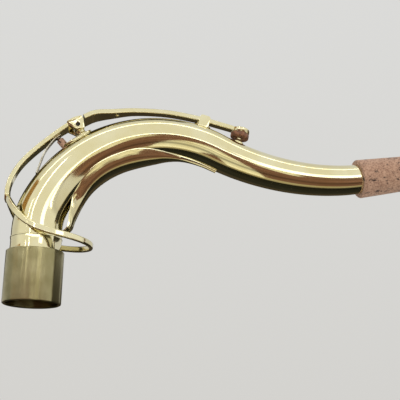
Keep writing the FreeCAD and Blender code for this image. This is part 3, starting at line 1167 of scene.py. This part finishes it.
@dataclass
class Brace:
    """Trough of sheet under the bend, with straight bright rims.

    Each station holds its share of the bare tube, the rims' height over the tube's skin, the
    half width over the rims and the crest's height over the skin.
    """

    thickness: float = 1.1
    rim: float = 0.75
    lip: float = 0.45
    lip_share: float = 0.25
    lean: float = 12.0
    inner_share: float = 0.2
    least_rise: float = 0.1
    least_arch: float = 0.05
    stations: tuple[tuple[float, float, float, float], ...] = (
        (0.010, -0.3, 4.2, 1.91), (0.026, 2.19, 4.54, 4.29), (0.050, 3.2, 4.79, 5.19),
        (0.101, 1.8, 5.21, 5.3), (0.147, 0.02, 5.88, 4.88), (0.197, -0.3, 7.56, 4.29),
        (0.258, -0.3, 8.4, 4.19), (0.324, -0.3, 8.06, 4.4), (0.379, -0.3, 7.56, 4.61),
        (0.430, -0.3, 6.13, 4.08), (0.472, -0.3, 4.2, 2.86), (0.515, -0.3, 2.52, 1.91),
        (0.565, -0.3, 1.43, 1.7), (0.625, -0.3, 0.84, 1.59),
    )
    arch_points: int = 22

    def section(self, share: float, rim: float, half: float, crest: float) -> Ring:
        """Closed section of the sheet.

        Args:
            share: Place along the bare tube.
            rim: Height of the rims over the tube's skin.
            half: Half width over the rims.
            crest: Height of the crest over the tube's skin.

        Returns:
            Points round the section.
        """
        distance = share * LINE.bare_length
        point, _ = LINE.centre(distance)
        down, side = LINE.outward(distance) * -1, Vector((0, 1, 0))
        radius = LINE.radius(distance)
        foot = math.sqrt((radius + rim) ** 2 - half**2)
        start = math.radians(self.lean)
        sweep = math.pi - 2 * start
        turns = [start + sweep * k / self.arch_points for k in range(self.arch_points + 1)]
        loop: Outline = []
        for inset, order in ((0.0, 1), (self.thickness, -1)):
            reach = max(half - inset, half * self.inner_share)
            wall = reach - min(self.lip, reach * self.lip_share)
            top = max(radius + crest - inset, foot + self.least_rise)
            spring = min(foot + self.rim, top - self.least_arch)
            arch = [(wall * math.cos(t), spring + (top - spring) * math.sin(t)) for t in turns]
            walk = [(reach, foot), (reach, spring), *arch, (-reach, spring), (-reach, foot)]
            loop += walk[::order]
        return [point + side * a + down * b for a, b in loop]

    def build(self) -> bpy.types.Object:
        """Build and dress the brace.

        Returns:
            The brace, smooth between its stations.
        """
        first = smooth_curve([Vector(s[:3]) for s in self.stations], 6)
        last = smooth_curve([Vector((s[3], 0, 0)) for s in self.stations], 6)
        rings = [self.section(a.x, a.y, a.z, b.x) for a, b in zip(first, last)]
        piece = make_piece("underbrace_formed", bridge(rings), sharp_degrees=32)
        return dress(piece, BRASS, Body.NECK, Slot.LACQUERED, "underbrace")


# Small fittings that keep their solid's form


@dataclass
class Fitting:
    """A small fitting whose hard edges are broken as polishing does."""

    node: str
    finish: Finish
    body: Body
    slot: Slot
    edge: float

    def build(self) -> bpy.types.Object:
        """Build and dress the fitting from its solid.

        Returns:
            The fitting, in its solid's place and form.
        """
        mesh = eased_copy(self.node, self.edge)
        piece = make_piece(self.node + "_polished", mesh, sharp_degrees=30)
        return dress(piece, self.finish, self.body, self.slot, self.node)


@dataclass
class Bumper:
    """Cork stop under the arm to the ring."""

    share: float = 0.229
    radius: float = 1.9
    top: float = 4.76
    foot: float = 0.4
    ease: float = 0.3
    ease_share: float = 0.3
    pressed: float = 0.8

    def build(self) -> bpy.types.Object:
        """Build and dress the stop.

        Returns:
            The stop, standing on the tube.
        """
        cut = self.ease * self.ease_share
        outline = [
            (0, self.foot), (self.radius, self.foot), (self.radius, self.top - self.ease),
            (self.radius - cut, self.top - cut), (self.radius - self.ease, self.top), (0, self.top),
        ]
        distance = self.share * LINE.bare_length
        mesh = lathe(outline, LINE.frame_at(distance), segments=40)
        piece = make_piece("bumper_cork_cut", mesh, sharp_degrees=50)
        dress(piece, CORK, Body.NECK, Slot.CORK, "bumper_cork")
        foot = LINE.above(distance, self.foot) * MM
        axis = LINE.outward(distance)
        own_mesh(piece)
        return piece


# Octave key


@dataclass
class OctaveKey:
    """The moving key: two arms, the ring, the cup with its pad, and the spring.

    Each place of an arm holds its share of the bare tube, its height over the tube's skin and
    the arm's half width. A place of the spring has no width of its own.
    """

    arm_thickness: float = 2.4
    arm_corner: float = 0.35
    arm_places: tuple[tuple[float, float, float], ...] = (
        (0.293, 7.4, 6.0), (0.318, 7.4, 5.6), (0.352, 5.8, 4.0), (0.400, 4.6, 2.7),
        (0.470, 3.5, 2.4), (0.540, 3.6, 2.4), (0.590, 4.9, 2.3), (0.632, 6.6, 2.2),
    )
    ring_arm_thickness: float = 2.2
    ring_arm_places: tuple[tuple[float, float, float], ...] = (
        (0.258, 8.0, 4.4), (0.232, 7.9, 3.9), (0.182, 8.3, 3.6), (0.140, 9.0, 3.4),
        (0.107, 8.6, 3.3),
    )
    ring_back: float = 15.3
    ring_front: float = 26.3
    ring_half: float = 15.8
    ring_height: float = 3.0
    ring_thickness: float = 1.8
    ring_corner: float = 0.6
    ring_steps: int = 120
    ring_probe: float = 0.02
    ring_low: float = 4.2
    ring_tilt: float = 5.5
    ring_sweep: float = 17.0
    ring_sweep_power: int = 5
    junction_half: float = 4.2
    lap_start: float = 0.2
    lap_end: float = 1.05
    lap_share: float = 0.8
    pad_share: float = 0.650
    pad_tilt: float = 9.0
    pad_radius: float = 4.8
    pad_neck: float = 4.0
    pad_low: float = 2.92
    pad_flat: float = 2.0
    pad_round: float = 0.8
    pad_round_height: float = 0.85
    pad_rim: float = 0.2
    pad_dip: float = 0.02
    pad_full: float = 0.05
    pad_full_height: float = 1.5
    pad_shoulder: float = 0.45
    pad_tuck: float = 0.25
    pad_tuck_height: float = 0.1
    pad_gap: float = 0.05
    cup_low: float = 5.72
    cup_radius: float = 4.7
    cup_skirt: float = 2.1
    cup_dome: float = 0.7
    cup_recess: float = 1.4
    cup_wall: float = 0.6
    cup_ease: float = 0.1
    cup_edge: float = 0.15
    rivet_share: float = 0.361
    rivet_height: float = 4.36
    rivet_outline: tuple[tuple[float, float], ...] = (
        (0, -0.6), (0.45, -0.56), (0.8, -0.4), (0.98, -0.12), (1.0, 0.1), (0.6, 0.12), (0.6, 0.4),
        (0, 0.4),
    )
    spring_places: tuple[tuple[float, float], ...] = (
        (0.236, 6.45), (0.219, 6.32), (0.190, 4.71), (0.164, 2.13), (0.142, 0.32),
    )
    spring_half: float = 1.9
    spring_thickness: float = 0.6
    spring_corner: float = 0.12

    def places(self, stations: Sequence[tuple[float, float, float]]) -> list[tuple[Vector, float]]:
        """Points over the tube with half widths."""
        return [(LINE.above(s * LINE.bare_length, height), half) for s, height, half in stations]

    def ring_place(self, angle: float) -> Vector:
        """Find a point of the ring's middle line.

        Args:
            angle: Angle round the ring from its back, in radians.

        Returns:
            The point; the ring rises to its back, steeply near the arm.
        """
        rise = (1 + math.cos(angle)) / 2
        height = self.ring_low + self.ring_tilt * rise + self.ring_sweep * rise**self.ring_sweep_power
        middle = (self.ring_front - self.ring_back) / 2
        reach = (self.ring_front + self.ring_back) / 2
        return Vector((middle - reach * math.cos(angle), -self.ring_half * math.sin(angle), height))

    def pad_frame(self) -> Matrix:
        """Frame of the cup, the pad and the pip, turned back from the tube's normal."""
        tilt = Matrix.Rotation(math.radians(-self.pad_tilt), 4, "Y")
        return LINE.frame_at(self.pad_share * LINE.bare_length) @ tilt

    def long_arm(self) -> bpy.types.Object:
        """Build and dress the arm to the cup.

        Returns:
            The long arm.
        """
        mesh = strip(self.places(self.arm_places), self.arm_thickness, self.arm_corner)
        piece = make_piece("long_arm_forged", mesh, sharp_degrees=60)
        return dress(piece, BRASS, Body.KEY, Slot.LACQUERED, "long_arm")

    def ring_arm(self) -> bpy.types.Object:
        """Build and dress the arm to the ring.

        Returns:
            The arm, whose end laps down over the ring.
        """
        top = self.ring_place(0) + Vector((0, 0, self.ring_height / 2))
        lift = Vector((0, 0, self.ring_height))
        places = self.places(self.ring_arm_places)
        places += [
            (top + lift, self.ring_arm_places[-1][2]),
            (top - lift * self.lap_start, self.junction_half),
            (top - lift * self.lap_end, self.junction_half * self.lap_share),
        ]
        mesh = strip(places, self.ring_arm_thickness, self.arm_corner)
        piece = make_piece("ring_arm_forged", mesh, sharp_degrees=60)
        return dress(piece, BRASS, Body.KEY, Slot.LACQUERED, "ring_arm")

    def ring(self) -> bpy.types.Object:
        """Build and dress the ring.

        Returns:
            The ring, a closed band with round edges.
        """
        rings = []
        outline = eased_rectangle(self.ring_thickness, self.ring_height, self.ring_corner)
        for k in range(self.ring_steps):
            angle = math.tau * k / self.ring_steps
            before, after = (self.ring_place(angle + d) for d in (-self.ring_probe, self.ring_probe))
            ahead = (after - before).normalized()
            side = ahead.cross(Vector((0, 0, 1))).normalized()
            up = side.cross(ahead)
            rings.append([self.ring_place(angle) + side * a + up * b for a, b in outline])
        piece = make_piece("key_ring_forged", bridge(rings, loop=True), sharp_degrees=60)
        return dress(piece, BRASS, Body.KEY, Slot.LACQUERED, "key_ring")

    def cup(self) -> bpy.types.Object:
        """Build and dress the pad cup.

        Returns:
            The cup, hollow below and domed above.
        """
        low, high = self.cup_low, self.cup_low + self.cup_skirt
        inner, ceiling = self.cup_radius - self.cup_wall, self.cup_low + self.cup_recess
        dome = [
            (self.cup_radius * math.cos(t), high + self.cup_dome * math.sin(t))
            for t in [math.pi / 2 * k / 8 for k in range(9)]
        ]
        ease, edge, outer = self.cup_ease, self.cup_edge, self.cup_radius
        outline = [
            (0, ceiling), (inner, ceiling), (inner, low + ease), (inner + ease, low),
            (outer - edge, low), (outer, low + edge), (outer, high - ease), *dome[:-1],
            (0, high + self.cup_dome),
        ]
        mesh = lathe(outline, self.pad_frame(), segments=72)
        piece = make_piece("pad_cup_spun", mesh, sharp_degrees=45)
        return dress(piece, BRASS, Body.KEY, Slot.LACQUERED, "pad_cup")

    def pad(self) -> bpy.types.Object:
        """Build and dress the pad.

        Returns:
            The pad, flat where it closes the pip, full at its waist and tucked into the cup.
        """
        reach, low, high = self.pad_radius, self.pad_low, self.cup_low
        across, rise = self.pad_round, self.pad_round_height
        seat = high + self.cup_recess - self.pad_gap
        outline = [
            (0, low), (self.pad_flat, low), (reach - across - self.pad_rim, low + self.pad_dip),
        ]
        outline += [
            (reach - across + across * math.sin(t), low + rise - rise * math.cos(t))
            for t in [math.pi / 2 * k / 6 for k in range(1, 7)]
        ]
        outline += [
            (reach + self.pad_full, low + self.pad_full_height), (reach, high - self.pad_shoulder),
            (reach - self.pad_tuck, high - self.pad_tuck_height),
            (self.pad_neck, high - self.pad_dip), (self.pad_neck, seat), (0, seat),
        ]
        mesh = lathe(outline, self.pad_frame(), segments=72)
        piece = make_piece("octave_pad_skinned", mesh, sharp_degrees=60)
        return dress(piece, SKIN, Body.KEY, Slot.PAD, "octave_pad")

    def rivet(self) -> bpy.types.Object:
        """Build and dress the rivet under the long arm.

        Returns:
            The rivet, its round head down.
        """
        place = LINE.frame_at(self.rivet_share * LINE.bare_length, self.rivet_height)
        mesh = lathe(self.rivet_outline, place, segments=32)
        piece = make_piece("arm_rivet_headed", mesh, sharp_degrees=50)
        return dress(piece, BRASS, Body.KEY, Slot.LACQUERED, "arm_rivet")

    def spring(self) -> bpy.types.Object:
        """Build and dress the flat spring, which rides on neither body.

        Returns:
            The spring, bent between the key and the neck.
        """
        places = self.places([(s, h, self.spring_half) for s, h in self.spring_places])
        mesh = strip(places, self.spring_thickness, self.spring_corner)
        piece = make_piece("flat_spring_rolled", mesh, sharp_degrees=60)
        dress(piece, SPRING_STEEL, None, Slot.SPRING, "flat_spring")
        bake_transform(piece)
        return piece

    def build(self) -> list[bpy.types.Object]:
        """Build every piece of the key.

        Returns:
            The pieces in the order in which they were built.
        """
        return [
            self.long_arm(), self.ring_arm(), self.ring(), self.cup(), self.pad(), self.rivet(),
            self.spring(),
        ]


# Studio


@dataclass(frozen=True)
class Lamp:
    """A soft box: a rectangular lamp that looks at a point, in metres."""

    name: str
    place: tuple[float, float, float]
    target: tuple[float, float, float]
    width: float
    height: float
    radiance: float
    mirrored: bool = True

    def build(self) -> bpy.types.Object:
        """Hang the lamp in the studio.

        Returns:
            The lamp, as bright as its radiance over its size asks for.
        """
        data = bpy.data.lights.new(self.name, "AREA")
        data.shape = "RECTANGLE"
        data.size, data.size_y = self.width, self.height
        data.energy = self.radiance * math.pi * self.width * self.height
        made = put(self.name, data)
        made.location = self.place
        made.visible_glossy = self.mirrored
        aim = Vector(self.target) - Vector(self.place)
        made.rotation_euler = aim.to_track_quat("-Z", "Y").to_euler()
        return made


# Painted reflections: tones of the cards, which only the metal sees, by place along Y in metres
BROWN: Bands = ((NEAR, "#866353"), (FAR, "#866353"))
DUSK: Bands = ((NEAR, "#474337"), (FAR, "#474337"))
CREAM: Bands = ((NEAR, "#fbf5dc"), (FAR, "#fbf5dc"))
AMBER: Bands = ((NEAR, "#b98f57"), (FAR, "#b98f57"))
UNDER_REFLECTION: Bands = (
    (NEAR, "#866353"), (-0.085, "#785848"), (-0.068, "#b5a887"), (-0.042, "#b5a887"),
    (-0.03, "#2b2a22"), (0.12, "#2b2a24"), (0.3, "#50473a"), (FAR, "#4c4336"),
)


def level(height: float, *corners: tuple[float, float]) -> Corners:
    """Corners of a level card at a height."""
    return tuple((x, y, height) for x, y in corners)


def upright(start: tuple[float, float], end: tuple[float, float], low: float, high: float) -> Corners:
    """Corners of an upright card over a line on the ground, between two heights."""
    return ((*start, low), (*end, low), (*end, high), (*start, high))


def stage_face(name: str, corners: Corners, finish: Finish) -> bpy.types.Object:
    """Set up one flat face of the studio.

    Args:
        name: Name of the face.
        corners: Its corners in metres.
        finish: Its finish.

    Returns:
        The face.
    """
    mesh = bmesh.new()
    mesh.faces.new([mesh.verts.new(corner) for corner in corners])
    made = put_mesh(name, mesh)
    made.data.materials.append(finish.material())
    return made


@dataclass(frozen=True)
class Card:
    """A card whose tones are painted reflections that only polished metal sees, in metres."""

    name: str
    bands: Bands
    corners: Corners

    def build(self) -> bpy.types.Object:
        """Set up the card.

        Returns:
            The card, hidden from all but mirrored light.
        """
        made = stage_face(self.name, self.corners, CardPaint(self.name + "_paint", self.bands))
        made.visible_camera = made.visible_diffuse = made.visible_shadow = False
        return made


@dataclass
class Studio:
    """Pale floor, pale surroundings, soft lamps, toned cards and the camera, in metres."""

    camera_place: tuple[float, float, float] = (0.02279, -0.35920, -0.08129)
    yaw: float = 9.0
    pitch: float = 17.169
    roll: float = 0.596
    focal_pixels: float = 750.0
    floor_height: float = -0.105
    floor_half: float = 3.0
    world_low: str = "#cfcdc8"
    world_high: str = "#dcdcda"
    world_front: str = "#f6f5ee"
    lamps: tuple[Lamp, ...] = (
        Lamp("key_box", (-1.51, -2.55, 1.80), (0.08, 0, 0.03), 2.1, 1.5, 1.6, False),
        Lamp("front_box", (1.25, -3.0, 0.80), (0.05, 0, 0.05), 0.9, 0.66, 1.3),
        Lamp("high_strip", (0.1, -1.05, 3.54), (0.1, 0, 0.03), 7.2, 0.18, 3.0),
        Lamp("low_strip", (0.1, -4.2, 0.45), (0.1, 0, 0.03), 9.0, 0.15, 3.0),
        Lamp("side_strip", (-1.69, -3.15, 1.80), (0.02, 0, 0.03), 0.09, 2.4, 7.0),
        Lamp("edge_strip", (-2.25, -2.25, 1.37), (0.0, 0, -0.01), 0.06, 0.9, 7.0),
    )
    cards: tuple[Card, ...] = (
        Card("floor_card", UNDER_REFLECTION, level(
            CARD_FOOT, (-3, -3), (1.7, -3), (0.27, -0.03), (3, -0.3), (3, 3), (-3, 3),
        )),
        Card("patch_card", CREAM, level(
            CARD_FOOT + MM, (-0.5, -2.5), (0.0, -2.5), (0.1, -0.34), (0.11, -0.06), (0.05, -0.06),
            (0.0, -0.34),
        )),
        Card("low_card", BROWN, upright((-3, -3), (1.7, -3), CARD_FOOT, 0.16)),
        Card("wing_card", CREAM, upright((0.3, -1.3), (0.3, -0.6), CARD_FOOT, 0.1)),
        Card("east_card", DUSK, upright((3, -0.3), (3, 3), CARD_FOOT, 0.7)),
        Card("west_card", AMBER, upright((-1.5, -0.55), (-1.5, 0.3), 0.55, 1.5)),
        Card("rear_card", DUSK, upright((-0.6, 1.4), (1.2, 1.4), CARD_FOOT, 0.25)),
        Card("high_card", DUSK, (
            (-0.9, 1.4, 0.25), (0.35, 1.4, 0.25), (0.35, 0.35, 1.5), (-0.9, 0.35, 1.5),
        )),
    )

    def camera(self) -> bpy.types.Object:
        """Place the camera at the photograph's angle.

        Returns:
            The camera, which is the scene's own from here on.
        """
        yaw, pitch, roll = (math.radians(a) for a in (self.yaw, self.pitch, self.roll))
        flat = math.cos(pitch)
        ahead = Vector((math.sin(yaw) * flat, math.cos(yaw) * flat, math.sin(pitch)))
        across = Vector((math.cos(yaw), -math.sin(yaw), 0))
        over = across.cross(ahead)
        right = across * math.cos(roll) + over * math.sin(roll)
        up = over * math.cos(roll) - across * math.sin(roll)
        data = bpy.data.cameras.new("camera")
        data.sensor_width = SENSOR_WIDTH
        data.lens = self.focal_pixels / IMAGE_WIDTH * SENSOR_WIDTH
        data.clip_start = 0.01
        made = put("camera", data)
        axes = Matrix((right, up, -ahead)).transposed().to_4x4()
        made.matrix_world = Matrix.Translation(self.camera_place) @ axes
        bpy.context.scene.camera = made
        return made

    def floor(self) -> bpy.types.Object:
        """Lay the floor below the neck and the camera.

        Returns:
            The floor.
        """
        reach = self.floor_half
        ground = ((-reach, -reach), (reach, -reach), (reach, reach), (-reach, reach))
        return stage_face("floor", level(self.floor_height, *ground), StudioPaint())

    def world(self) -> None:
        """Surround the studio with a pale backdrop.

        It is graded from the horizon upwards at the back, and from just above the horizon it
        turns to a warmer white at the front, where the brass shows a lit room.
        """
        world = bpy.data.worlds.new("studio")
        bpy.context.scene.world = world
        world.use_nodes = True
        tree = world.node_tree
        tree.nodes.clear()
        way = add_node(tree, "ShaderNodeTexCoord").outputs["Generated"]
        axis = add_node(tree, "ShaderNodeSeparateXYZ", inputs={"Vector": way})
        height = add_node(
            tree, "ShaderNodeMapRange",
            inputs={"Value": axis.outputs["Z"], "From Min": -0.3, "From Max": 0.6},
        )
        back = add_node(
            tree, "ShaderNodeValToRGB", inputs={"Fac": height.outputs["Result"]},
            stops=((0.0, self.world_low), (1.0, self.world_high)),
        )
        near = add_node(
            tree, "ShaderNodeMapRange", {"interpolation_type": "SMOOTHSTEP"},
            {"Value": axis.outputs["Y"], "From Min": 0.25, "From Max": -0.25},
        )
        risen = add_node(
            tree, "ShaderNodeMapRange", {"interpolation_type": "SMOOTHSTEP"},
            {"Value": axis.outputs["Z"], "From Min": 0.0, "From Max": 0.12},
        )
        share = add_node(
            tree, "ShaderNodeMath", {"operation": "MULTIPLY"},
            {0: near.outputs["Result"], 1: risen.outputs["Result"]},
        )
        colour = add_node(
            tree, "ShaderNodeMix", {"data_type": "RGBA"},
            {0: share.outputs["Value"], 6: back.outputs["Color"], 7: linear(self.world_front)},
        )
        light = add_node(
            tree, "ShaderNodeBackground", inputs={"Color": colour.outputs[2], "Strength": 1.0}
        )
        add_node(tree, "ShaderNodeOutputWorld", inputs={"Surface": light.outputs[0]})

    def build(self) -> None:
        """Set up camera, floor, surroundings, lamps and cards."""
        self.camera()
        self.floor()
        self.world()
        for item in (*self.lamps, *self.cards):
            item.build()
        bpy.context.scene.view_settings.view_transform = "Standard"


def clear_defaults() -> None:
    """Take away the lamp, camera and cube that a new file may hold."""
    for name in ("Cube", "Light", "Camera"):
        found = bpy.data.objects.get(name)
        if found:
            bpy.data.objects.remove(found)


def main() -> None:
    """Build the scene: the studio first, then the neck piece by piece."""
    logging.basicConfig(level=logging.INFO, format="%(message)s")
    clear_defaults()
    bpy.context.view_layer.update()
    Studio().build()
    tenon = Tenon()
    pieces = [tenon.sleeve(), tenon.collar(), Tube().build(), CorkSleeve().build(), Brace().build()]
    fittings = (
        Fitting("hinge_saddle", BRASS, Body.NECK, Slot.LACQUERED, edge=0.15),
        Fitting("hinge_pillar", BRASS, Body.NECK, Slot.LACQUERED, edge=0.1),
        Fitting("octave_guide", BRASS, Body.NECK, Slot.LACQUERED, edge=0.2),
        Fitting("octave_pip", BRASS, Body.NECK, Slot.LACQUERED, edge=0.1),
        Fitting("hinge_fork", BRASS, Body.KEY, Slot.LACQUERED, edge=0.3),
        Fitting("hinge_screw", PIVOT_SHADE_STEEL, Body.KEY, Slot.SCREW, edge=0.08),
        Fitting("spring_screw", SCREW_STEEL, Body.KEY, Slot.SCREW, edge=0.08),
    )
    pieces += [fitting.build() for fitting in fittings]
    pieces.append(Bumper().build())
    pieces += OctaveKey().build()
    for piece in pieces:
        log.info("%s: %d faces", piece.name, len(piece.data.polygons))


if __name__ == "__main__":
    main()
